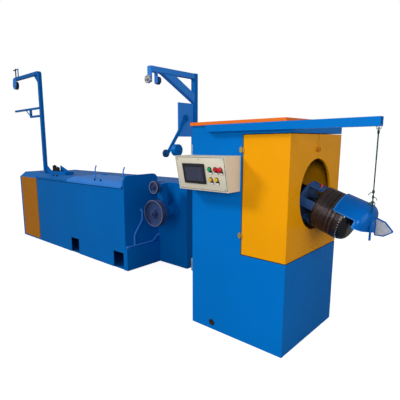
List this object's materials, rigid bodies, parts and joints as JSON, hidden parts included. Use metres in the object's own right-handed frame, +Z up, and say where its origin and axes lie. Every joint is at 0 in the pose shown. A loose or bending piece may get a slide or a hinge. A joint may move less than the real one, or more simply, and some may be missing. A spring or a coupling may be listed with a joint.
{
  "type": "wire drawing machine",
  "caption": "Wet wire drawing machine: long blue tank with lid, take-off capstan, guide wheel masts, and a take-up cabinet with yellow guard doors, tilted coil drum and trunk.",
  "frame": {"origin": "on the floor under the middle of the take-up cabinet", "axes": "+X along the line from the wire inlet to the coil nose, +Y to the back, +Z up"},
  "size_m": [5.848, 1.614, 2.693],
  "materials": {
    "blue_paint": "gloss",
    "yellow_paint": "gloss",
    "orange_paint": "gloss",
    "beige_paint": "satin",
    "black_paint": "gloss",
    "drawn_wire": "drawn, oiled",
    "worn_steel": "machined, worn at the rim",
    "black_rubber": "matt",
    "screen_black": "gloss",
    "green_plastic": "gloss",
    "yellow_plastic": "gloss",
    "red_plastic": "gloss",
    "grey_sheet": "bare sheet",
    "green_rope": "laid rope"
  },
  "bodies": {
    "frame": {"cabinet_base": "blue_paint", "cabinet_column": "blue_paint", "cabinet_lintel": "blue_paint", "cabinet_cover": "orange_paint", "stay_beam": "blue_paint", "stay_rope": "green_rope", "spindle": "black_paint", "trunk": "blue_paint", "nose_plate": "grey_sheet", "control_box": "beige_paint", "control_screen": "screen_black", "button_green": "green_plastic", "buttons_yellow": "yellow_plastic", "buttons_red": "red_plastic", "stop_button": "red_plastic", "gear_case": "blue_paint", "tank_front_wall": "blue_paint", "tank_side_wall": "blue_paint", "tank_floor": "blue_paint", "tank_end_plate": "blue_paint", "inlet_panel": "yellow_paint", "tank_deck": "blue_paint", "drawing_cones": "worn_steel", "skirt_box": "blue_paint", "coolant_pipes": "blue_paint", "capstan_sleeve": "blue_paint", "idler_bracket": "blue_paint", "gantry_post": "blue_paint", "gantry_arm": "blue_paint", "gantry_brace": "blue_paint", "guide_brackets": "blue_paint", "dancer_plate": "blue_paint", "inlet_mast": "blue_paint", "inlet_fork": "blue_paint", "guide_bars": "blue_paint", "inlet_trough": "blue_paint", "inlet_rollers": "black_rubber"},
    "front_guard": {"front_guard_side": "yellow_paint", "front_guard_end": "yellow_paint"},
    "rear_guard": {"rear_guard_side": "yellow_paint", "rear_guard_end": "yellow_paint"},
    "drum": {"drum_cage": "blue_paint", "drum_body": "blue_paint", "wire_coil": "drawn_wire", "drum_nose": "black_paint"},
    "lid": {"tank_lid": "blue_paint", "lid_handles": "blue_paint"},
    "capstan": {"capstan_wheel": "worn_steel"},
    "idler": {"idler_wheel": "worn_steel"},
    "guide_front": {"guide_wheel_front": "worn_steel"},
    "guide_rear": {"guide_wheel_rear": "worn_steel"},
    "dancer": {"dancer_arm": "blue_paint"},
    "dancer_wheel": {"dancer_roller": "black_rubber"},
    "inlet": {"inlet_wheel": "black_rubber"}
  },
  "joints": [
    {"name": "front_guard_hinge", "type": "hinge", "parent": "frame", "child": "front_guard", "pos_m": [0.049, -0.432, 1.1], "axis": [0, 0, -1], "range_deg": [0, 90]},
    {"name": "rear_guard_hinge", "type": "hinge", "parent": "frame", "child": "rear_guard", "pos_m": [0.049, 0.432, 1.1], "axis": [0, 0, 1], "range_deg": [0, 90]},
    {"name": "drum_spin", "type": "hinge", "parent": "frame", "child": "drum", "pos_m": [0.405, 0, 1.03], "axis": [0.9397, 0, -0.342], "continuous": true},
    {"name": "tank_lid_hinge", "type": "hinge", "parent": "frame", "child": "lid", "pos_m": [-2.405, 0.504, 1.041], "axis": [-1, 0, 0], "range_deg": [0, 95]},
    {"name": "capstan_spin", "type": "hinge", "parent": "frame", "child": "capstan", "pos_m": [-1.51, 0.21, 0.692], "axis": [0, -1, 0], "continuous": true},
    {"name": "idler_spin", "type": "hinge", "parent": "frame", "child": "idler", "pos_m": [-1.51, 0.204, 0.985], "axis": [0, -1, 0], "continuous": true},
    {"name": "guide_front_spin", "type": "hinge", "parent": "frame", "child": "guide_front", "pos_m": [-1.525, 0.152, 2.141], "axis": [0, -1, 0], "continuous": true},
    {"name": "guide_rear_spin", "type": "hinge", "parent": "frame", "child": "guide_rear", "pos_m": [-1.525, 0.297, 2.141], "axis": [0, -1, 0], "continuous": true},
    {"name": "dancer_swing", "type": "hinge", "parent": "frame", "child": "dancer", "pos_m": [-1.5, 0.727, 1.759], "axis": [1, 0, 0], "range_deg": [-25, 35]},
    {"name": "dancer_wheel_spin", "type": "hinge", "parent": "dancer", "child": "dancer_wheel", "pos_m": [-1.53, 0.41178, 1.35554], "axis": [1, 0, 0], "continuous": true},
    {"name": "inlet_spin", "type": "hinge", "parent": "frame", "child": "inlet", "pos_m": [-4.822, 0.2, 2.436], "axis": [0, 1, 0], "continuous": true}
  ]
}
